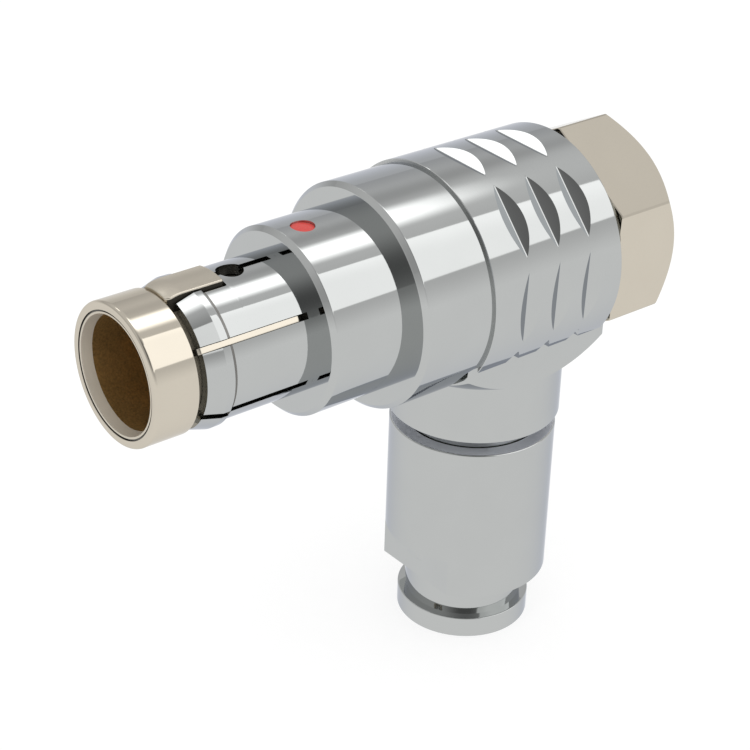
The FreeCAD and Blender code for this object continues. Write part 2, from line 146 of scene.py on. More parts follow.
class PlugStudio(bpy.types.PropertyGroup):
    """Brightness of the plain studio."""

    low: light("Floor in reflections", 1.0, "the floor as metal mirrors it")
    wall: light("Wall", 0.74, "the low wall's upper rim behind the plug")
    near_wall: light("Near wall", 0.56, "the low wall's upper rim at the camera's side")
    rise: light("Above the wall", 0.62, "the room just above the wall")
    upper: light("Upper room", 0.76, "the room far above the wall")
    shaded: light("Shaded patch", 0.56, "a small darker patch above the wall")
    pale: light("Pale patch", 0.86, "a paler patch behind the plug")
    front: light("Dark corner", 0.19, "the room beside the camera")
    panel: light("Side panel", 1.58, "the long soft panel")
    top: light("Top lamp", 2.6, "the lamp overhead")
    left: light("Left lamp", 2.4, "the lamp at the left")
    fill: light("Fill", 0.85, "the soft light that falls on dull surfaces")
    own: light("Floor's own white", 0.74, "the part of the floor's white that no lamp gives")


def sizes():
    """The sizes in millimetres, by name."""
    group = bpy.context.scene.plug_sizes
    return {k: getattr(group, k) / MM for k in PlugSizes.__annotations__}


def rgba(name):
    """The finish colour of that name, with full alpha."""
    return (*getattr(bpy.context.scene.plug_finish, name), 1.0)


# Surfaces

LIFT = np.array([0.0, 0.0, AXIS / MM])


def placed(points):
    """Millimetres about the crossing of the two axes, as metres in the row's frame."""
    return (points + LIFT) * MM


def barrel(r, y, turn):
    """Point at radius r and turn (radians, 0 at +X, quarter turn at the top) about the barrel's axis."""
    r, y, turn = np.broadcast_arrays(r, y, turn)
    return np.stack([r * np.cos(turn), y, r * np.sin(turn)], -1)


def post(r, z, turn):
    """Point at radius r and turn about the cable's axis, z above the barrel's axis."""
    r, z, turn = np.broadcast_arrays(r, z, turn)
    return np.stack([r * np.cos(turn), r * np.sin(turn), z], -1)


def skin(points, wrap=False, close=False):
    """Quads between neighbouring rows and columns of a grid of points; wrap joins the last column to the
    first, close joins the last row to the first."""
    index = np.arange(points.shape[0] * points.shape[1]).reshape(points.shape[:2])
    if wrap:
        index = np.hstack([index, index[:, :1]])
    if close:
        index = np.vstack([index, index[:1]])
    quads = np.stack([index[:-1, :-1], index[:-1, 1:], index[1:, 1:], index[1:, :-1]], -1)
    return points.reshape(-1, 3), quads.reshape(-1, 4)


def band(rows):
    """Quads between rows of points that run all the way round."""
    return skin(np.array(rows), wrap=True)


def plate(points):
    """One flat face round the given edge points."""
    return points, np.arange(len(points))[None, :]


def rounded(corners, steps=4, hold=0.04, closed=False):
    """Profile through corners (a, b, radius): straight runs joined by arcs that touch both runs, with a
    point close to each end of a run, so that the shading of a flat stays flat."""
    made = []
    for i, (a, b, radius) in enumerate(corners):
        at = np.array([a, b], float)
        if not closed and i in (0, len(corners) - 1):
            made.append(at[None])
            continue
        before = np.array(corners[i - 1][:2], float) - at
        after = np.array(corners[(i + 1) % len(corners)][:2], float) - at
        run_in, run_out = np.linalg.norm(before), np.linalg.norm(after)
        p, q = before / run_in, after / run_out
        half = math.acos(np.clip(p @ q, -1, 1)) / 2
        if radius <= 0 or half > QUARTER - 1e-3:
            made.append(at[None])
            continue
        reach = min(radius / math.tan(half), 0.45 * min(run_in, run_out))
        true = reach * math.tan(half)
        centre = at + (p + q) / np.linalg.norm(p + q) * true / math.sin(half)
        first, last = at + p * reach - centre, at + q * reach - centre
        whole = math.acos(np.clip(first @ last / true ** 2, -1, 1))
        t = np.linspace(0, 1, steps + 1)[:, None]
        arc = centre + (np.sin((1 - t) * whole) * first + np.sin(t * whole) * last) / math.sin(whole)
        lead = at + p * (reach + min(hold, 0.3 * run_in))
        tail = at + q * (reach + min(hold, 0.3 * run_out))
        made.append(np.vstack([lead[None], arc, tail[None]]))
    return np.vstack(made)


def spaced(profile, step):
    """The profile with points added so that none are further apart than step."""
    made = [profile[:1]]
    for a, b in zip(profile[:-1], profile[1:]):
        n = max(1, math.ceil(np.linalg.norm(b - a) / step))
        made.append(a + (b - a) * (np.arange(1, n + 1) / n)[:, None])
    return np.vstack(made)


def turned(corners, form=barrel, steps=4):
    """A closed profile (radius, place along the axis, corner radius) turned once round the axis."""
    line = rounded(corners, steps, closed=True)
    turn = np.linspace(0, TURN, 256, endpoint=False)
    return skin(form(line[:, :1], line[:, 1:], turn[None, :]), wrap=True, close=True)


def linked(name, data):
    """An object that holds the data, linked to the scene."""
    obj = bpy.data.objects.new(name, data)
    bpy.context.scene.collection.objects.link(obj)
    return obj


def piece(name, sheets, finish, body, stands_for, crease=28.0, others=()):
    """Joins the sheets into one mesh at the origin, merges shared points, turns faces outwards, marks edges
    sharper than crease and lets the piece ride on its body. others are (finish, choice) pairs, where choice
    picks the faces that get the finish from their radius about the barrel, place along it and height."""
    same_point, no_width = 3e-7, 1e-8
    work = bmesh.new()
    for points, faces in sheets:
        verts = [work.verts.new(p) for p in placed(points).tolist()]
        for face in faces.tolist():
            work.faces.new([verts[i] for i in face])
    bmesh.ops.remove_doubles(work, verts=work.verts[:], dist=same_point)
    bmesh.ops.dissolve_degenerate(work, edges=work.edges[:], dist=no_width)
    bmesh.ops.recalc_face_normals(work, faces=work.faces[:])
    mesh = bpy.data.meshes.new(name)
    work.to_mesh(mesh)
    work.free()
    mesh.shade_smooth()
    mesh.set_sharp_from_angle(angle=math.radians(crease))
    for used, _ in ((finish, None), *others):
        mesh.materials.append(finish_named(used))
    centre = np.zeros(len(mesh.polygons) * 3)
    mesh.polygons.foreach_get("center", centre)
    x, y, z = (centre.reshape(-1, 3) / MM - LIFT).T
    index = np.zeros(len(x), np.int32)
    for number, (_, choice) in enumerate(others, 1):
        index[choice(np.hypot(x, z), y, z)] = number
    mesh.polygons.foreach_set("material_index", index)
    obj = linked(name, mesh)
    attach(obj, body)
    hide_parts(*stands_for)


# Finishes

# Stretch of the turning marks: fine rings follow each other along the axis with the large number
ALONG_BARREL = (300.0, 16000.0, 300.0)
ALONG_CABLE = (300.0, 300.0, 16000.0)
BUMP_HEIGHT = 0.00001
GREY, WHITE = (0.5, 0.5, 0.5, 1.0), (1.0, 1.0, 1.0, 1.0)

# Plated metal: colour, colour at a slant, stretch, roughness beyond the gloss, its spread, depth of the marks
PLATED = {
    "chrome_barrel": ("chrome", "chrome_edge", ALONG_BARREL, 0.0, 0.02, 0.012),
    "chrome_neck": ("chrome", "chrome_edge", ALONG_CABLE, 0.0, 0.02, 0.012),
    "chrome_step": ("step", "step", ALONG_BARREL, 0.305, 0.05, 0.05),
    "nickel_warm": ("nickel", "nickel_edge", ALONG_BARREL, 0.02, 0.03, 0.02),
    "nickel_key": ("nickel", "nickel_edge", ALONG_BARREL, 0.195, 0.05, 0.05),
    # painted_shade_corner: dark painted shade for narrow corners, with extra roughness
    "painted_shade_corner": ("line", "line", ALONG_BARREL, 0.305, 0.05, 0.05),
    "contact_gold": ("gold", "gold_edge", ALONG_BARREL, 0.075, 0.04, 0.05),
    "turned_brass": ("brass", "brass_edge", ALONG_CABLE, 0.175, 0.08, 0.08),
}
# Dull surfaces: colour, roughness, scale and contrast of the grain, metallic, relief, specular level
DULL = {
    "gilt_bore": ("bore", 0.36, 9000.0, 1.6, 0.8, 0.35, 0.5),
    "nickel_satin": ("nickel", 0.34, 9000.0, 0.10, 0.35, 0.05, 0.5),
    # painted_light_nut_top: the nut's top face, shaded by the neck above it, gets a lighter base colour than
    # the chrome as painted light, and more roughness
    "painted_light_nut_top": ("chrome_edge", 0.40, 6000.0, 0.10, 0.5, 0.05, 0.5),
    # painted_shade_tube: near-black colour painted where the tube behind the fingers and the lower sides of
    # the key and ribs lie in shade
    "painted_shade_tube": ("tube", 0.5, 5000.0, 0.6, 0.6, 0.3, 0.5),
    # painted_light_tube_end: a lighter copy of the painted shade tube, painted where light reaches into the
    # gap
    "painted_light_tube_end": ("gap", 0.5, 5000.0, 0.9, 0.6, 0.3, 0.5),
    "red_enamel": ("dot", 0.28, 4000.0, 0.12, 0.0, 0.1, 0.28),
    "moulded_brown": ("insulator", 0.55, 6000.0, 0.35, 0.0, 0.25, 0.5),
    "seal_black": ("rubber", 0.70, 5000.0, 0.5, 0.0, 0.25, 0.5),
    "liner_pale": ("liner", 0.60, 4000.0, 0.15, 0.0, 0.25, 0.5),
}


def feed(tree, node, inputs):
    """Links each input to the socket given for it, or sets it to the plain value given."""
    for key, value in dict(inputs).items():
        if hasattr(value, "is_linked"):
            tree.links.new(value, node.inputs[key])
        else:
            node.inputs[key].default_value = value


def add(tree, kind, inputs=(), **settings):
    """A new shader node with its settings made and its inputs fed."""
    node = tree.nodes.new("ShaderNode" + kind)
    for name, value in settings.items():
        setattr(node, name, value)
    feed(tree, node, inputs)
    return node


def calc(tree, operation, *values):
    """Result of a Math node fed by sockets or numbers."""
    return add(tree, "Math", enumerate(values), operation=operation).outputs[0]


def weighed(tree, first, second, part):
    """first * (1 - part) + second * part."""
    return calc(tree, "MULTIPLY_ADD", second, part, calc(tree, "MULTIPLY", first, 1.0 - part))


def toned(tree, colour, shade):
    """The colour made lighter or darker by shade."""
    return add(tree, "VectorMath", {0: colour, "Scale": shade}, operation="SCALE").outputs[0]


def noise(tree, vector, scale, detail):
    """Noise from 0 to 1 with about scale bumps to the metre."""
    return add(tree, "TexNoise", {"Vector": vector, "Scale": scale, "Detail": detail}).outputs["Fac"]


def new_group(name, inputs, outputs):
    """A shader node group and its two end nodes. inputs and outputs give each socket's name and default, a
    number, a vector of three or a colour of four."""
    group = bpy.data.node_groups.new(name, "ShaderNodeTree")
    for way, sockets in (("INPUT", inputs), ("OUTPUT", outputs)):
        for label, value in sockets.items():
            kind = {1: "NodeSocketFloat", 3: "NodeSocketVector", 4: "NodeSocketColor"}[np.size(value)]
            group.interface.new_socket(name=label, in_out=way, socket_type=kind).default_value = value
    return group, group.nodes.new("NodeGroupInput"), group.nodes.new("NodeGroupOutput")


def plated_group():
    """Tool marks and wear of plated turned metal: fine rings along the stretched axis, hairlines and a soft
    cloud of handling. Gives roughness, height and a colour that is a little duller in the clouds."""
    group, given, result = new_group(
        "Plated wear", {"Stretch": (1.0, 1.0, 1.0), "Roughness": 0.05, "Spread": 0.03, "Colour": GREY},
        {"Colour": GREY, "Roughness": 0.05, "Height": 0.5})
    cloud_scale, hair_scale, smoothest = 420.0, 5200.0, 0.012
    place = add(group, "TexCoord").outputs["Object"]
    stretched = add(group, "VectorMath", {0: place, 1: given.outputs["Stretch"]}, operation="MULTIPLY")
    rings = noise(group, stretched.outputs[0], 1.0, 4.0)
    cloud = noise(group, place, cloud_scale, 3.0)
    hair = noise(group, place, hair_scale, 2.0)
    uneven = calc(group, "SUBTRACT", weighed(group, cloud, rings, 0.3), 0.45)
    rough = calc(group, "MULTIPLY_ADD", uneven, given.outputs["Spread"], given.outputs["Roughness"])
    shade = calc(group, "MULTIPLY_ADD", cloud, 0.05, 0.975)
    feed(group, result, {"Roughness": calc(group, "MAXIMUM", rough, smoothest),
                         "Height": weighed(group, rings, hair, 0.3),
                         "Colour": toned(group, given.outputs["Colour"], shade)})
    return group


def grain_group():
    """Fine grain of a dull surface: two sizes of noise that lighten and darken the colour, and a height."""
    group, given, result = new_group("Dull grain", {"Colour": GREY, "Scale": 3000.0, "Contrast": 0.4},
                                     {"Colour": GREY, "Height": 0.5})
    broad_scale = 500.0
    place = add(group, "TexCoord").outputs["Object"]
    fine = noise(group, place, given.outputs["Scale"], 3.0)
    broad = noise(group, place, broad_scale, 2.0)
    uneven = calc(group, "SUBTRACT", weighed(group, fine, broad, 0.35), 0.5)
    shade = calc(group, "MULTIPLY_ADD", uneven, given.outputs["Contrast"], 1.0)
    feed(group, result, {"Colour": toned(group, given.outputs["Colour"], shade), "Height": fine})
    return group


def begin(name):
    """A fresh material with its Principled shader."""
    material = bpy.data.materials.new(name)
    material.use_nodes = True
    tree = material.node_tree
    return material, tree, tree.nodes["Principled BSDF"]


def finish_named(name):
    """The finish of that name, made when it is first asked for. Its node group puts out what varies over the
    surface; plain values go on the shader's own sockets, and relief is the strength of the bump."""
    if name in bpy.data.materials:
        return bpy.data.materials[name]
    groups = bpy.data.node_groups
    if name in PLATED:
        colour, edge, stretch, beyond, spread, relief = PLATED[name]
        gloss = bpy.context.scene.plug_finish.gloss
        group = groups.get("Plated wear") or plated_group()
        varied = {"Stretch": stretch, "Roughness": gloss + beyond, "Spread": spread}
        plain = {"Metallic": 1.0, "Specular Tint": rgba(edge)}
    else:
        colour, roughness, scale, contrast, metallic, relief, level = DULL[name]
        group = groups.get("Dull grain") or grain_group()
        varied = {"Scale": scale, "Contrast": contrast}
        plain = {"Metallic": metallic, "Roughness": roughness, "Specular IOR Level": level}
    material, tree, shader = begin(name)
    effect = add(tree, "Group", node_tree=group)
    feed(tree, effect, {**varied, "Colour": rgba(colour)})
    height = effect.outputs["Height"]
    bump = add(tree, "Bump", {"Strength": relief, "Distance": BUMP_HEIGHT, "Height": height})
    feed(tree, shader, {**plain, "Base Color": effect.outputs["Colour"], "Normal": bump.outputs["Normal"]})
    if name in PLATED:
        feed(tree, shader, {"Roughness": effect.outputs["Roughness"]})
    return material


# Pieces

def block_run(half_width, top, start, rise, full, stop, lead, bend, edge=0.05, taper=0.0):
    """Bar on the barrel: at each place along it a section |x| <= half_width under a roof of radius top, whose
    corners are arcs of radius bend. The roof climbs from radius lead to top between rise and full, as the
    sine of a quarter turn, and rounds off by edge at stop. The width grows by taper just behind start."""
    foot, wall, taper_run, ends = 2.80, 0.03, 0.3, 6
    quarter = np.linspace(0, QUARTER, ends)
    across = np.linspace(-1.0, 1.0, 25)
    places = np.concatenate([[start, rise], np.linspace(rise, full, 12)[1:], [stop - edge - 0.05],
                             stop - edge + edge * np.sin(quarter)])
    roof = lead + (top - lead) * np.sin(np.clip((places - rise) / (full - rise), 0, 1) * QUARTER)
    shrink = np.zeros_like(places)
    shrink[-ends:] = edge * (1 - np.cos(quarter))
    narrow = taper * (1 - np.sin(np.clip((places - start) / taper_run, 0, 1) * QUARTER))
    rows = []
    for y, r, less, n in zip(places, roof, shrink, narrow):
        w, r = half_width - less - n, r - less
        x = across * (w - bend)
        crown = np.sqrt(r * r - x * x)
        cx = w - bend + bend * np.sin(quarter[1:])
        cz = math.sqrt(r * r - (w - bend) ** 2) - bend + bend * np.cos(quarter[1:])
        knee = cz[-1] - wall
        xs = np.concatenate([[-w, -w], -cx[::-1], x, cx, [w, w]])
        zs = np.concatenate([[foot, knee], cz[::-1], crown, cz, [knee, foot]])
        rows.append(np.stack([xs, np.full_like(xs, y), zs], -1))
    rows = np.array(rows)
    return [skin(rows, wrap=True), plate(rows[0]), plate(rows[-1])]


def spun(sheets, degrees):
    """Sheets turned about the barrel's axis."""
    c, s = math.cos(math.radians(degrees)), math.sin(math.radians(degrees))
    turn = np.array([[c, 0, -s], [0, 1, 0], [s, 0, c]])
    return [(points @ turn.T, faces) for points, faces in sheets]


def nose_sheets(p):
    """Nose ring and tube: a profile of lip, funnel, round front and ring, turned round the barrel's axis;
    key and ribs are bars with a curved roof."""
    r, b, tip, back, flange = p["nose"], p["nose_bore"], -21.96, -5.30, 4.08
    ring = turned([
        (b, back, 0.0), (b, -17.00, 0.0), (BORE_MOUTH, FUNNEL_END, 0.02), (FUNNEL_MOUTH, FUNNEL_LIP, 0.02),
        (GROOVE_IN, FUNNEL_LIP, 0.01), (GROOVE_IN, GROOVE_FLOOR, 0.0), (GROOVE_OUT, GROOVE_FLOOR, 0.0),
        (GROOVE_OUT, tip + 0.01, 0.03), (r, tip, 0.36), (r, RING_BACK, 0.05), (TUBE, RING_BACK, 0.0),
        (TUBE, DAYLIGHT_END, 0.0), (TUBE, TUBE_END, 0.0), (flange, TUBE_END, 0.0), (flange, back, 0.0),
    ], steps=8)
    key = block_run(half_width=0.92, top=3.77, start=-19.67, rise=-19.665, full=-18.75, stop=-16.60,
                    lead=KEY_LEAD, bend=0.06, taper=0.14)
    rib = block_run(half_width=0.14, top=3.60, start=-19.50, rise=-19.49, full=-19.30, stop=-13.95,
                    lead=r - 0.02, bend=0.02, edge=0.04)
    return [ring, *key, *spun(rib, -60.0), *spun(rib, 60.0)]


# Half widths of the slots between the fingers: beside the key, over a rib, and the plain slit
KEY_SLOT, RIB_SLOT, SLIT = 1.02, 0.165, 0.19


def keyhole_edge():
    """Edge of a finger beside the key: along the key's slot, round the corner, in to the slit, round the
    eye and on along the slit. Rows of (offset from the middle, place along the barrel)."""
    end, corner, eye_place, eye = -16.44, 0.10, -15.60, 0.66
    bend = np.linspace(0, QUARTER, 5)
    turn_in = np.stack([KEY_SLOT - corner + corner * np.cos(bend), end - corner + corner * np.sin(bend)], -1)
    open_at = math.asin(SLIT / eye)
    t = np.linspace(math.pi - open_at, open_at, 25)
    ring = np.stack([eye * np.sin(t), eye_place + eye * np.cos(t)], -1)
    return np.vstack([turn_in, [[KEY_SLOT * 0.55, end], [SLIT, end]], ring])


def finger(p, low, high, low_half, high_half, keyed=None):
    """One spring finger between two slots: radius follows the nose-to-root profile and the turn runs evenly
    from one slot wall to the other, where a wall lies at a fixed offset from the slot's middle plane. keyed
    names the side ("low" or "high") that follows the key's slot and the eye. Returns the sheets and the last
    row of the outside and of the bore."""
    land, lug, plain = p["latch"], p["lug"], -16.90
    line = rounded([(3.40, -19.20, 0), (lug, -18.26, 0.05), (lug, LUG_BACK, 0.04), (land, LUG_BACK, 0.0),
                    (land, LUG_CORNER, 0.0), (land, plain, 0.0)], 3, hold=0.05)
    line = np.vstack([spaced(line, 0.25), [[land, y] for y in np.linspace(plain, SLIT_END, 40)[1:]]])
    r, y = line[:, 0], line[:, 1]
    offset = {"low": np.full(len(y), low_half), "high": np.full(len(y), high_half)}
    place = {"low": y.copy(), "high": y.copy()}
    if keyed:
        path = keyhole_edge()
        first = int(np.argmax(y > plain + 1e-6))
        last = first + len(path)
        offset[keyed][:first] = KEY_SLOT
        offset[keyed][first:last], place[keyed][first:last] = path.T
        offset[keyed][last:] = SLIT
        place[keyed][last:] = np.linspace(path[-1, 1], SLIT_END, len(y) - last + 1)[1:]
    share_across = np.linspace(0, 1, 33)[None, :]

    def face(radius):
        start = low + np.arcsin(offset["low"] / radius)
        stop = high - np.arcsin(offset["high"] / radius)
        turn = start[:, None] + (stop - start)[:, None] * share_across
        along = place["low"][:, None] + (place["high"] - place["low"])[:, None] * share_across
        return barrel(radius[:, None], along, turn)

    outer, inner = face(r), face(np.full(len(r), FINGER_BORE))
    walls = [skin(np.stack([outer[:, side], inner[:, side]], 1)) for side in (0, -1)]
    sheets = [skin(outer), skin(inner), skin(np.stack([outer[0], inner[0]], 1)), *walls]
    return sheets, outer[-1], inner[-1]


def latch_sheets(p):
    """Six spring fingers and the turned root ring that joins them under the sleeve."""
    sheets, tops, floors = [], [], []
    halves = {-90: SLIT, -30: SLIT, 30: RIB_SLOT, 90: KEY_SLOT, 150: RIB_SLOT, 210: SLIT, 270: SLIT}
    for low in (-90, -30, 30, 90, 150, 210):
        high = low + 60
        keyed = {30: "high", 90: "low"}.get(low)
        made, top_row, floor_row = finger(
            p, math.radians(low), math.radians(high), halves[low], halves[high], keyed)
        sheets += made
        tops.append(top_row)
        floors.append(floor_row)
    for i in range(6):
        sheets.append(plate(np.array([tops[i - 1][-1], tops[i][0], floors[i][0], floors[i - 1][-1]])))
    top, floor = np.vstack(tops), np.vstack(floors)
    r, root, root_front, root_back = p["latch"], 3.98, -12.50, -8.40

    def at(row, radius, y):
        return barrel(radius, y, np.arctan2(row[:, 2], row[:, 0]))

    return [*sheets, band([top, at(top, r, -13.20), at(top, r, root_front), at(top, root, root_front),
                           at(top, root, root_back), at(floor, FINGER_BORE, root_back), floor])]


class Saddle:
    """Turns of the sleeve's columns. Columns across the cut-out keep a fixed x, the others are spread evenly
    between its two walls, so that the walls are flat at every radius."""

    def __init__(self, half, base):
        self.half = half
        first = math.asin(half / base)
        self.x = base * np.sin(np.linspace(-first, first, 73))

    def above(self, radius):
        """Turns outside the cut-out for a row that has this radius at the wall."""
        wall = math.asin(self.half / radius)
        return -QUARTER + wall + np.linspace(0, 1, 361) * (TURN - 2 * wall)

    def whole(self, radius):
        """Turns all the way round, those across the cut-out first."""
        return np.concatenate([-QUARTER + np.arcsin(self.x / radius), self.above(radius)[1:-1]])


def dotted(rows, turns, dot, depth):
    """A grid on the collar with a round pocket at the top: the cells within reach of the dot are left out,
    and a fan of lines from their rim to the dot's circle takes their place, then the pocket's wall and floor.
    rows are (radius, y); returns sheets."""
    reach = 1.0
    radius = rows[0, 0]
    mid = QUARTER + math.radians(SPIN)
    r0, r1 = np.where(np.abs(rows[:, 1] - DOT_PLACE) < reach)[0][[0, -1]]
    c0, c1 = np.where(np.abs(turns - mid) * radius < reach)[0][[0, -1]]
    points, faces = skin(barrel(rows[:, :1], rows[:, 1:], turns[None, :]), wrap=True)
    row, column = faces[:, 0] // len(turns), faces[:, 0] % len(turns)
    inside = (row >= r0) & (row < r1) & (column >= c0) & (column < c1)
    rim = np.concatenate([
        [(r0, c) for c in range(c0, c1)], [(r, c1) for r in range(r0, r1)],
        [(r1, c) for c in range(c1, c0, -1)], [(r, c0) for r in range(r1, r0, -1)]])
    outer = np.stack([radius * (turns[rim[:, 1]] - mid), rows[rim[:, 0], 1] - DOT_PLACE], -1)
    angle = np.arctan2(outer[:, 1], outer[:, 0])
    ring = np.stack([dot * np.cos(angle), dot * np.sin(angle)], -1)
    fan = []
    for t in (1.0, 0.5, 0.2, 0.05, 0.0):
        at = ring + (outer - ring) * t
        fan.append(barrel(radius, at[:, 1] + DOT_PLACE, mid + at[:, 0] / radius))
    level = spun([(fan[-1], None)], -SPIN)[0][0]
    level[:, 2] = radius - depth
    floor = spun([(level, None)], SPIN)[0][0]
    return [(points, faces[~inside]), band(fan), band([fan[-1], floor]), plate(floor)]


def sleeve_sheets(p):
    """Release sleeve. The outside is a turned profile whose radius is lowered where V notches, 45 degrees
    apart, cross it: r*cos(angle from the notch) rises from the floor along a small arc, then at 27.5 degrees.
    The saddle cut-out is bounded by x = +-half width and a front wall with rounded corners."""
    collar, wide, grip = p["collar"], p["barrel"], p["grip"]
    saddle = Saddle(p["slot_half"], wide)
    lip, front_bore, bore = 3.508, 4.00, 5.15
    face, lip_back, bore_step = -13.05, -12.53, -7.95
    tube_front, tube_back, wide_face, chamfer = -12.60, -10.40, -8.46, 0.24
    join, slot_front, corner, rear = -5.60, -5.06, 0.50, 4.16
    shoulder = slot_front + corner
    turns = saddle.whole(wide)

    def full(line):
        return band([barrel(r, y, turns) for r, y in line])

    lead = rounded([(front_bore, bore_step, 0), (front_bore, lip_back, 0), (lip, lip_back, 0),
                    (lip, face, 0), (collar - chamfer, face, 0.02), (collar, face + chamfer, 0.03),
                    (collar, tube_front, 0)], 3)
    tube = np.array([[collar, y] for y in np.linspace(tube_front, tube_back, 14)])
    rise = rounded([(collar, tube_back, 0), (collar, wide_face, 0), (wide - chamfer, wide_face, 0.02),
                    (wide, wide_face + chamfer, 0.03), (wide, join, 0)], 3)
    sheets = [full(lead), full(rise), *dotted(tube, turns, p["dot"], 0.30)]

    over = np.maximum(np.abs(saddle.x) - (saddle.half - corner), 0.0)
    end = shoulder - np.sqrt(np.maximum(corner ** 2 - over ** 2, 0.0))

    def middle(radius):
        base = saddle.whole(radius)
        goal = np.concatenate([end, np.full(len(base) - len(end), shoulder)])
        return np.array([barrel(radius, join + (goal - join) * k, base) for k in np.linspace(0, 1, 7)])

    outer, inner = middle(wide), middle(bore)
    across = slice(len(saddle.x))
    throat = [barrel(bore, y, saddle.whole(bore)) for y in (join, bore_step)]
    sheets += [band(outer), band(inner), skin(np.array([outer[-1][across], inner[-1][across]])),
               band([*throat, barrel(front_bore, bore_step, turns)])]

    low = grip - p["notch"]
    lean, bend, hold, first, pitch = math.radians(27.5), 0.12, 0.05, -1.99, 2.04
    apart = math.radians(45.0)

    def off(turn):
        """Angle from the nearest notch's middle."""
        return (turn + apart / 2 - math.radians(SPIN)) % apart - apart / 2

    def width(turn):
        """Half width of a notch where it leaves the grip's round."""
        deep = np.maximum(grip * np.cos(off(turn)) - low, 0.0)
        arc = np.arccos(np.clip(1 - deep / bend, math.cos(lean), 1.0))
        return bend * np.sin(arc) + np.maximum(deep - bend * (1 - math.cos(lean)), 0.0) / math.tan(lean)

    def row(radius, place):
        """Row of columns above the cut-out. Both arguments are numbers or functions of the turn; the turn of
        the cut-out's wall is found by repeating turn -> radius there."""
        def at(value, turn):
            return value(turn) if callable(value) else np.full_like(turn, value)

        edge = np.array([-QUARTER + math.asin(saddle.half / grip)])
        for _ in range(6):
            edge = -QUARTER + np.arcsin(saddle.half / at(radius, edge))
        turn = saddle.above(float(at(radius, edge)[0]))
        return barrel(at(radius, turn), at(place, turn), turn)

    def notch(mid):
        """Rows across one ring of notches, from rim to rim."""
        made = [row(grip, lambda turn: mid - out - width(turn)) for out in (hold, 0.0)]
        for angle in np.linspace(-lean, lean, 7):
            side, reach = math.copysign(1, angle), bend * abs(math.sin(angle))
            made.append(row(
                lambda turn: np.minimum(grip, (low + bend * (1 - math.cos(angle))) / np.cos(off(turn))),
                lambda turn: mid + side * np.minimum(reach, width(turn))))
        return made + [row(grip, lambda turn: mid + out + width(turn)) for out in (0.0, hold)]

    head = rounded([(wide, shoulder, 0), (wide, GRIP_FACE, 0), (grip, GRIP_FACE, 0.03), (grip, -3.0, 0)], 2,
                   hold=0.02)
    tail = rounded([(grip, 3.2, 0), (grip, rear - 0.06, 0.03), (grip - 0.06, rear, 0.03), (bore, rear, 0.03),
                    (bore, shoulder, 0)], 3)
    rows = [row(r, y) for r, y in head]
    for k in range(3):
        rows += notch(first + pitch * k)
    rows = np.array(rows + [row(r, y) for r, y in tail])
    return [*sheets, skin(rows), plate(rows[:, 0]), plate(rows[:, -1])]


def elbow_sheets(p):
    """Square block with rounded upright edges, its foot turned to a sphere about the cable's axis, height =
    centre - sqrt(ball^2 - radius^2), and the neck. Each column goes down its wall to the sphere, then along
    it."""
    half, neck, bend, centre, ball, top, wall = p["block"], p["neck"], 0.12, 2.89, 9.46, -2.0, 0.03
    throat, spigot, foot, end = 3.00, 3.55, -8.60, -12.50

    def sphere(radius):
        return centre - np.sqrt(ball ** 2 - radius ** 2)

    side = np.linspace(-1, 1, 41) * (half - bend)
    arc = np.linspace(0, QUARTER, 7)[1:-1]
    quarter = np.vstack([np.stack([np.full(41, half), side], -1),
                         np.stack([half - bend + bend * np.cos(arc), half - bend + bend * np.sin(arc)], -1)])
    outline = np.vstack([quarter @ np.array([[math.cos(a), math.sin(a)], [-math.sin(a), math.cos(a)]])
                         for a in np.arange(4) * QUARTER])
    reach = np.hypot(outline[:, 0], outline[:, 1])
    turn = np.arctan2(outline[:, 1], outline[:, 0])
    rows = [post(throat, top, turn)]
    rows += [post(reach, top + (sphere(reach) + wall - top) * k, turn) for k in (0.0, 0.5, 1.0)]
    for k in np.linspace(0, 1, 14):
        radius = reach + (neck - reach) * k
        rows.append(post(radius, sphere(radius), turn))
    lower = rounded([(neck, -5.50, 0), (neck, foot, 0.14), (spigot, foot, 0.04), (spigot, end, 0),
                     (throat, end, 0)], 5)
    rows += [post(r, z, turn) for r, z in lower]
    tube = turned([(4.10, TUBE_END, 0), (5.10, TUBE_END, 0), (5.10, 4.40, 0.05), (4.10, 4.40, 0)])
    return [skin(np.array(rows), wrap=True, close=True), tube]


def cap_sheets(p):
    """Hexagonal cap: radius is the lesser of the hexagon, flat / cos(angle from the flat), and the turned
    corner; a 45 degree cone takes off the rear corners where its radius is less."""
    flat, corner, rear, front, edge, bore = p["cap_flat"], p["cap_corner"], 8.70, 4.60, 0.05, 4.05
    tip = math.acos(flat / corner)
    part = np.concatenate([np.linspace(-tip, tip, 33), np.linspace(tip, math.pi / 3 - tip, 5)[1:-1]])
    turn = np.concatenate([part + k * math.pi / 3 for k in range(6)])
    off = (turn + math.pi / 6) % (math.pi / 3) - math.pi / 6
    side = np.minimum(flat / np.cos(off), corner)
    inner = [(0.0, 6.90), (2.60, 6.90), (2.60, 1.20), (bore, 1.20), (bore, 2.15), (3.26, 2.15), (3.26, 3.05),
             (bore, 3.05), (bore, front), (side - edge, front), (side, front + edge), (side, front + 0.09),
             (side, rear - (side - flat) - 0.04)]
    rows = [barrel(r, y, turn) for r, y in inner]
    for k in np.linspace(0, 1, 5):
        radius = side + (flat - 0.03 - side) * k
        rows.append(barrel(radius, rear - (radius - flat) - 0.03 * k, turn))
    rows += [barrel(r, rear, turn) for r in (flat - 0.10, flat - 0.2, 2.5, 0.0)]
    return spun([band(rows)], CAP_SPIN)


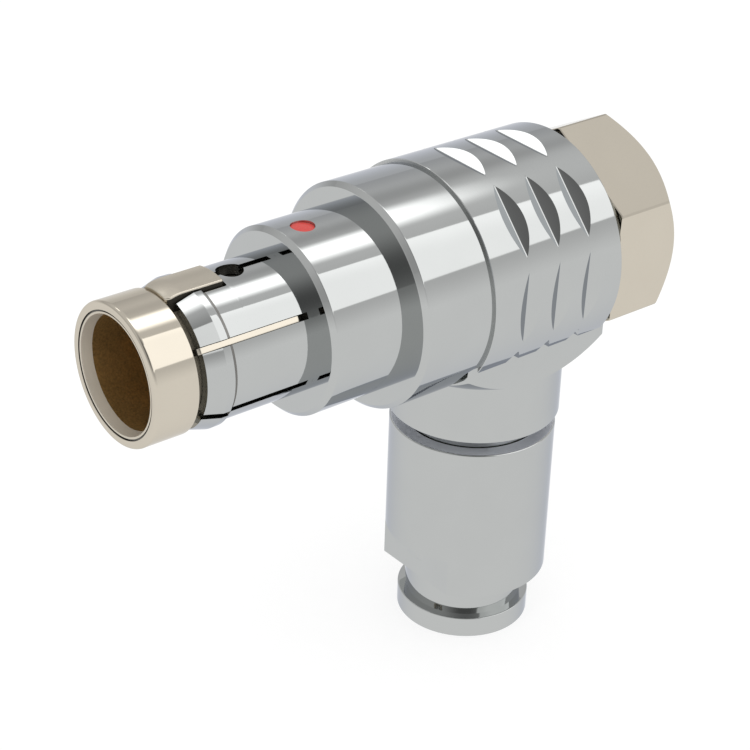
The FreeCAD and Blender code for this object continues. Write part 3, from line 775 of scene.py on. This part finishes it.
def nut_sheets(p):
    """Cable nut: a turned cup whose lower part is cut by two flats, radius flat / |sin(turn)| there."""
    r, flat, ledge, low, cup, hole = p["nut"], p["nut_flat"], -16.06, -18.17, 3.60, 3.42
    tip = math.asin(flat / r)
    quarter = np.concatenate([np.linspace(0, tip, 25), np.linspace(tip, QUARTER, 25)[1:]])
    half_turn = np.concatenate([quarter[:-1], math.pi - quarter[:0:-1]])
    turn = np.concatenate([half_turn, math.pi + half_turn])
    cut = np.minimum(r, flat / np.maximum(np.abs(np.sin(turn)), 1e-6))
    rim = rounded([(cup, -11.0, 0), (cup, NUT_TOP, 0.04), (r, NUT_TOP, 0.10), (r, ledge + 0.06, 0)], 5)
    lower = [(r, ledge), (cut, ledge), (cut, ledge - 0.05), (cut, low + 0.04), (cut, low), (hole + 0.06, low),
             (hole, low), (hole, -17.30), (cup, -17.10)]
    rows = [post(radius, z, turn) for radius, z in [*rim, *lower]]
    return [skin(np.array(rows), wrap=True, close=True)]


def bushing_sheets():
    """Cable inlet below the nut: a cone that narrows to a waist and a rim with broken edges."""
    hole, top, rim, rim_top, end = 2.10, -17.34, 3.60, -20.17, -21.35
    return [turned([(hole, top, 0), (3.36, top, 0.03), (3.36, -18.07, 0.2), (3.14, rim_top, 0),
                    (rim, rim_top, 0.06), (rim, end, 0.06), (hole, end, 0.08)], post)]


def dot_sheets(p):
    """Enamel disc in its pocket, its face a shallow dome: height falls with the square of the radius."""
    play, sunk, dome, thick = 0.012, 0.10, 0.02, 0.29
    out = np.array([0.0, 0.25, 0.5, 0.7, 0.85, 0.94, 1.0])[:, None]
    turn = np.linspace(0, TURN, 64, endpoint=False)[None, :]
    r = (p["dot"] - play) * out
    top = np.stack([r * np.cos(turn), DOT_PLACE + r * np.sin(turn),
                    p["collar"] - sunk - dome * out ** 2 + 0 * turn], -1)
    low = top[-1].copy()
    low[:, 2] = p["collar"] - thick
    return spun([band(top), band([top[-1], low]), plate(low)], SPIN)


class PLUG_OT_nose(bpy.types.Operator):
    """Make the nose ring with its key and ribs"""

    bl_idname = "plug.nose"
    bl_label = "Nose and key"

    def execute(self, context):
        p = sizes()
        others = [
            ("gilt_bore", lambda r, y, z: (r < BORE_MOUTH) & (y > FUNNEL_END)),
            ("nickel_satin", lambda r, y, z: (r < FUNNEL_MOUTH) & (y < FUNNEL_END)),
            # Painted shade: the narrow groove behind the nose's front gets the dark corner finish
            ("painted_shade_corner", lambda r, y, z: (r > GROOVE_IN - 0.001) & (r < GROOVE_OUT + 0.001)
             & (y > FUNNEL_LIP - 0.02) & (y < FUNNEL_END + 0.06)),
            ("nickel_key", lambda r, y, z: (r > KEY_LEAD - 0.004) & (y > RING_BACK + 0.02)),
            # Painted shade: the tube behind the fingers and the lower sides of the key and ribs get a
            # near-black finish
            ("painted_shade_tube", lambda r, y, z: (r < p["nose"]) & (r > TUBE - 0.02) & (y > RING_BACK + 0.08)
             & (y < TUBE_END - 0.05)),
            # Painted light: the tube's end in the gap behind the nose ring gets a lighter copy of the tube's
            # finish
            ("painted_light_tube_end", lambda r, y, z: (np.abs(r - TUBE) < 0.02) & (y > RING_BACK + 0.08)
             & (y < DAYLIGHT_END)),
        ]
        piece("nose_shell", nose_sheets(p), "nickel_warm", FIXED, ["inner_shell"],
              others=others)
        return {"FINISHED"}


class PLUG_OT_latch(bpy.types.Operator):
    """Make the ring of spring fingers"""

    bl_idname = "plug.latch"
    bl_label = "Latch fingers"

    def execute(self, context):
        p = sizes()
        # Painted shade: a dark line painted on the fingers just behind the lugs' back step
        corner = ("painted_shade_corner", lambda r, y, z: (np.abs(r - p["latch"]) < 0.004) & (y > LUG_BACK - 0.01)
                  & (y < LUG_CORNER + 0.01))
        piece("latch_fingers", latch_sheets(p), "chrome_barrel", MOVING, ["latch_sleeve"],
              others=[corner])
        return {"FINISHED"}


class PLUG_OT_sleeve(bpy.types.Operator):
    """Make the notched release sleeve"""

    bl_idname = "plug.sleeve"
    bl_label = "Release sleeve"

    def execute(self, context):
        p = sizes()
        step = ("chrome_step", lambda r, y, z: (r > p["barrel"] + 0.003) & (y < GRIP_FACE + 0.0001))
        piece("grip_sleeve", sleeve_sheets(p), "chrome_barrel", MOVING, ["release_sleeve"],
              crease=20.0, others=[step])
        return {"FINISHED"}


class PLUG_OT_dot(bpy.types.Operator):
    """Make the red alignment dot"""

    bl_idname = "plug.dot"
    bl_label = "Alignment dot"

    def execute(self, context):
        piece("alignment_dot", dot_sheets(sizes()), "red_enamel", MOVING, ["red_dot"])
        return {"FINISHED"}


class PLUG_OT_elbow(bpy.types.Operator):
    """Make the right-angle body"""

    bl_idname = "plug.elbow"
    bl_label = "Elbow body"

    def execute(self, context):
        piece("elbow_shell", elbow_sheets(sizes()), "chrome_neck", FIXED, ["elbow_body"])
        return {"FINISHED"}


class PLUG_OT_cap(bpy.types.Operator):
    """Make the hexagonal rear cap"""

    bl_idname = "plug.cap"
    bl_label = "Rear cap"

    def execute(self, context):
        piece("hex_cap", cap_sheets(sizes()), "nickel_warm", FIXED, ["rear_cap"], crease=20.0)
        return {"FINISHED"}


class PLUG_OT_nut(bpy.types.Operator):
    """Make the cable nut and the inlet bushing"""

    bl_idname = "plug.nut"
    bl_label = "Cable nut and bushing"

    def execute(self, context):
        # Painted light: the nut's top face, in the shade under the neck, gets a lighter satin colour
        top = ("painted_light_nut_top", lambda r, y, z: (z < NUT_TOP + 0.01) & (z > NUT_TOP - 0.005))
        piece("cable_nut", nut_sheets(sizes()), "chrome_neck", FIXED, ["collet_nut"],
              others=[top])
        piece("inlet_bushing", bushing_sheets(), "chrome_neck", FIXED, ["cable_bushing"])
        return {"FINISHED"}


class PLUG_OT_inside(bpy.types.Operator):
    """Give the pieces inside their finishes"""

    bl_idname = "plug.inside"
    bl_label = "Inner pieces"

    def execute(self, context):
        chosen = {
            "moulded_brown": ("insulator_front", "insulator_rear"),
            "seal_black": ("cable_seal", "cap_seal"),
            "liner_pale": ("insulating_liner",),
            "contact_gold": [name for name in frame["nodes"] if name.startswith("contact_pin")],
            "turned_brass": ("clamp_washer", "collet", "insert_lock_ring"),
        }
        for finish, names in chosen.items():
            for name in names:
                mesh = frame["nodes"][name].data
                mesh.materials.clear()
                mesh.materials.append(finish_named(finish))
        return {"FINISHED"}


# Studio

# Degrees above the horizon between which one part of the room gives way to the next
FLOOR_TO_RIM = (-5.0, 21.0)
WALL_RIM = (19.0, 20.2)
UPPER_RISE = (18.0, 44.0)
PANEL_TOP = (59.4, 60.6)
# Azimuth in degrees: the panel's two soft ends, then where its brightness grows and by how much
PANEL_ENDS = (82.0, 87.0, 155.0, 156.2)
PANEL_GROWTH = ((88.0, 112.0, 0.28), (138.0, 154.0, 0.18))
# The panel's ends lean outwards above this height, by this many degrees for each degree
LEAN_FROM, LEAN = 46.0, 0.6
# Patches of the upper room: azimuth, height, and the degrees within which they are full and have faded
SHADED_PATCH = (-143.0, 43.5, 1.0, 14.0)
PALE_PATCH = (181.0, 47.0, 3.0, 24.0)
DARK_CORNER = (57.0, 44.0, 6.0, 46.0)
# Lamps on a flat ceiling: soft edges across it (x / z) and along it (y / z), dark, lit, lit and dark
TOP_LAMP = ((-0.41, -0.20, -0.06, 0.17), (-0.10, 0.08, 0.70, 0.84))
LEFT_LAMP = ((-1.00, -0.96, -0.72, -0.68), (-0.10, -0.06, 0.14, 0.18))
CEILING = 0.05

# The photograph's camera: lens and frame in pixels, place in the fit's units about the crossing of the axes
SENSOR, LENS_PIXELS, FRAME_PIXELS = 36.0, 2023.242, 750.0
CAMERA_RIGHT = (0.62457, 0.78047, 0.02793)
CAMERA_UP = (-0.39341, 0.28353, 0.87455)
CAMERA_PLACE, FIT_UNIT = (71.66, -66.27, 46.33), 0.956


def smooth_step(tree, value, low, high):
    """0 below low, 1 above high, smooth between; low may be the larger."""
    return add(tree, "MapRange", {"Value": value, "From Min": low, "From Max": high},
               interpolation_type="SMOOTHSTEP").outputs["Result"]


def between(tree, value, low_out, low_in, high_in, high_out):
    """1 between low_in and high_in, 0 outside low_out and high_out, smooth between."""
    return calc(tree, "MULTIPLY", smooth_step(tree, value, low_out, low_in),
                smooth_step(tree, value, high_out, high_in))


def near(tree, direction, azimuth, height, inner, outer):
    """1 within inner degrees of the direction at azimuth and height, 0 beyond outer degrees."""
    a, h = math.radians(azimuth), math.radians(height)
    toward = (math.cos(h) * math.sin(a), -math.cos(h) * math.cos(a), math.sin(h))
    cosine = add(tree, "VectorMath", {0: direction, 1: toward}, operation="DOT_PRODUCT").outputs["Value"]
    return smooth_step(tree, calc(tree, "DEGREES", calc(tree, "ARCCOSINE", cosine)), outer, inner)


def blend(tree, first, second, mask):
    """first where the mask is 0, second where it is 1."""
    return add(tree, "Mix", {0: mask, 2: first, 3: second}, data_type="FLOAT").outputs[0]


def seen_in_metal(tree, path, plain, mirror):
    """The mirror shader for rays that metal or glass sends out, the plain one for all others."""
    sharp = calc(tree, "MAXIMUM", path.outputs["Is Glossy Ray"], path.outputs["Is Transmission Ray"])
    return add(tree, "MixShader", {0: sharp, 1: plain.outputs[0], 2: mirror.outputs[0]})


def studio_world(s):
    """Plain room: pale floor, a low wall all round, an upper room with a dark corner beside the camera, a
    long panel behind the plug and two lamps hung overhead. The lamps are laid out on a flat ceiling, where a
    direction's place is x / z, y / z. Mirrors see the room; the camera sees white; dull surfaces get an even
    fill."""
    world = bpy.data.worlds.new("studio")
    bpy.context.scene.world = world
    world.use_nodes = True
    tree = world.node_tree
    tree.nodes.clear()
    place = add(tree, "TexCoord").outputs["Generated"]
    x, y, z = add(tree, "SeparateXYZ", {0: place}).outputs
    height = calc(tree, "DEGREES", calc(tree, "ARCSINE", z))
    azimuth = calc(tree, "DEGREES", calc(tree, "ARCTAN2", x, calc(tree, "MULTIPLY", y, -1.0)))

    rim = blend(tree, s.near_wall, s.wall, smooth_step(tree, y, 0.0, 0.4))
    wall = blend(tree, s.low, rim, smooth_step(tree, height, *FLOOR_TO_RIM))
    upper = blend(tree, s.rise, s.upper, smooth_step(tree, height, *UPPER_RISE))
    for value, patch in ((s.shaded, SHADED_PATCH), (s.pale, PALE_PATCH), (s.front, DARK_CORNER)):
        upper = blend(tree, upper, value, near(tree, place, *patch))
    room = blend(tree, wall, upper, smooth_step(tree, height, *WALL_RIM))

    climb = calc(tree, "MAXIMUM", calc(tree, "SUBTRACT", height, LEAN_FROM), 0.0)
    skewed = calc(tree, "MULTIPLY_ADD", climb, LEAN, azimuth)
    panel = calc(tree, "MULTIPLY", between(tree, skewed, *PANEL_ENDS),
                 between(tree, height, *WALL_RIM, *PANEL_TOP))
    glow = calc(tree, "SUBTRACT", s.panel, PANEL_GROWTH[0][2])
    for first, last, more in PANEL_GROWTH:
        glow = calc(tree, "MULTIPLY_ADD", smooth_step(tree, azimuth, first, last), more, glow)
    room = blend(tree, room, glow, panel)

    above = calc(tree, "MAXIMUM", z, CEILING)
    across, along = calc(tree, "DIVIDE", x, above), calc(tree, "DIVIDE", y, above)
    for bright, (sides, ends) in ((s.top, TOP_LAMP), (s.left, LEFT_LAMP)):
        lamp = calc(tree, "MULTIPLY", between(tree, across, *sides), between(tree, along, *ends))
        room = blend(tree, room, bright, calc(tree, "MULTIPLY", lamp, calc(tree, "GREATER_THAN", z, CEILING)))

    mirror, fill, seen = (add(tree, "Background", {"Color": WHITE, "Strength": strength})
                          for strength in (room, s.fill, 1.0))
    path = add(tree, "LightPath")
    lit = seen_in_metal(tree, path, fill, mirror)
    shown = add(tree, "MixShader", {0: path.outputs["Is Camera Ray"], 1: lit.outputs[0], 2: seen.outputs[0]})
    add(tree, "OutputWorld", {"Surface": shown.outputs[0]})


def studio_floor(s):
    """White floor disc under the plug. Part of its white is its own, so the plug's shadow stays soft."""
    dark_speck, pale_speck, speck_scale = 0.33, 0.35, 900.0
    turn = np.linspace(0, TURN, 97)[:-1][None, :]
    r = np.array([0.0, 20.0, 60.0, 200.0, 900.0])[:, None]
    points, faces = skin(post(r, -AXIS / MM, turn), wrap=True)
    mesh = bpy.data.meshes.new("floor")
    mesh.from_pydata(placed(points).tolist(), [], faces.tolist())
    material, tree, shader = begin("floor_white")
    tree.nodes.remove(shader)
    speckle = noise(tree, add(tree, "TexCoord").outputs["Object"], speck_scale, 2.0)
    matt = add(tree, "BsdfDiffuse", {"Color": blend(tree, dark_speck, pale_speck, speckle)})
    own = add(tree, "Emission", {"Strength": s.own})
    mirror = add(tree, "Emission", {"Strength": s.low})
    both = add(tree, "AddShader", {0: matt.outputs[0], 1: own.outputs[0]})
    shown = seen_in_metal(tree, add(tree, "LightPath"), both, mirror)
    feed(tree, tree.nodes["Material Output"], {"Surface": shown.outputs[0]})
    mesh.materials.append(material)
    floor = linked("floor", mesh)


def camera():
    """Camera at the photograph's place: right, up and back are its axes in the row's frame."""
    data = bpy.data.cameras.new("camera")
    data.sensor_width = SENSOR
    data.lens = SENSOR * LENS_PIXELS / FRAME_PIXELS
    data.clip_start, data.clip_end = 0.002, 5.0
    obj = linked("camera", data)
    right, up = np.array(CAMERA_RIGHT), np.array(CAMERA_UP)
    right /= np.linalg.norm(right)
    up -= right * (up @ right)
    up /= np.linalg.norm(up)
    matrix = np.eye(4)
    matrix[:3, :3] = np.stack([right, up, np.cross(right, up)], 1)
    matrix[:3, 3] = np.array(CAMERA_PLACE) * FIT_UNIT * MM + [0, 0, AXIS]
    obj.matrix_world = Matrix(matrix.tolist())
    bpy.context.scene.camera = obj


def soft_lamp():
    """Round lamp over the camera's shoulder that only dull surfaces show."""
    lamp = bpy.data.lights.new("soft_lamp", "AREA")
    lamp.shape, lamp.size = "DISK", 0.25
    lamp.energy = 0.12
    obj = linked("soft_lamp", lamp)
    obj.location = (0.10, -0.12, 0.32)
    obj.rotation_euler = (math.radians(28), math.radians(18), 0)
    obj.visible_glossy = False


class PLUG_OT_stage(bpy.types.Operator):
    """Make the floor, the room's light and the camera"""

    bl_idname = "plug.stage"
    bl_label = "Studio"

    def execute(self, context):
        studio_world(context.scene.plug_studio)
        studio_floor(context.scene.plug_studio)
        soft_lamp()
        camera()
        context.scene.view_settings.view_transform = "Standard"
        return {"FINISHED"}


class PLUG_PT_panel(bpy.types.Panel):
    """Lists the plug's pieces and its studio"""

    bl_label = "Right-angle plug"
    bl_idname = "PLUG_PT_panel"
    bl_space_type = "VIEW_3D"
    bl_region_type = "UI"
    bl_category = "Plug"

    def draw(self, context):
        for operator in OPERATORS:
            self.layout.operator(operator.bl_idname)


OPERATORS = (PLUG_OT_nose, PLUG_OT_latch, PLUG_OT_sleeve, PLUG_OT_dot, PLUG_OT_elbow, PLUG_OT_cap,
             PLUG_OT_nut, PLUG_OT_inside, PLUG_OT_stage)
GROUPS = {"plug_sizes": PlugSizes, "plug_finish": PlugFinish, "plug_studio": PlugStudio}
CLASSES = (*GROUPS.values(), *OPERATORS, PLUG_PT_panel)


def register():
    for made in CLASSES:
        bpy.utils.register_class(made)
    for name, group in GROUPS.items():
        setattr(bpy.types.Scene, name, bpy.props.PointerProperty(type=group))


def unregister():
    for name in GROUPS:
        delattr(bpy.types.Scene, name)
    for made in reversed(CLASSES):
        bpy.utils.unregister_class(made)


def main():
    register()
    for operator in OPERATORS:
        getattr(bpy.ops.plug, operator.bl_idname.removeprefix("plug."))()


if __name__ == "__main__":
    main()
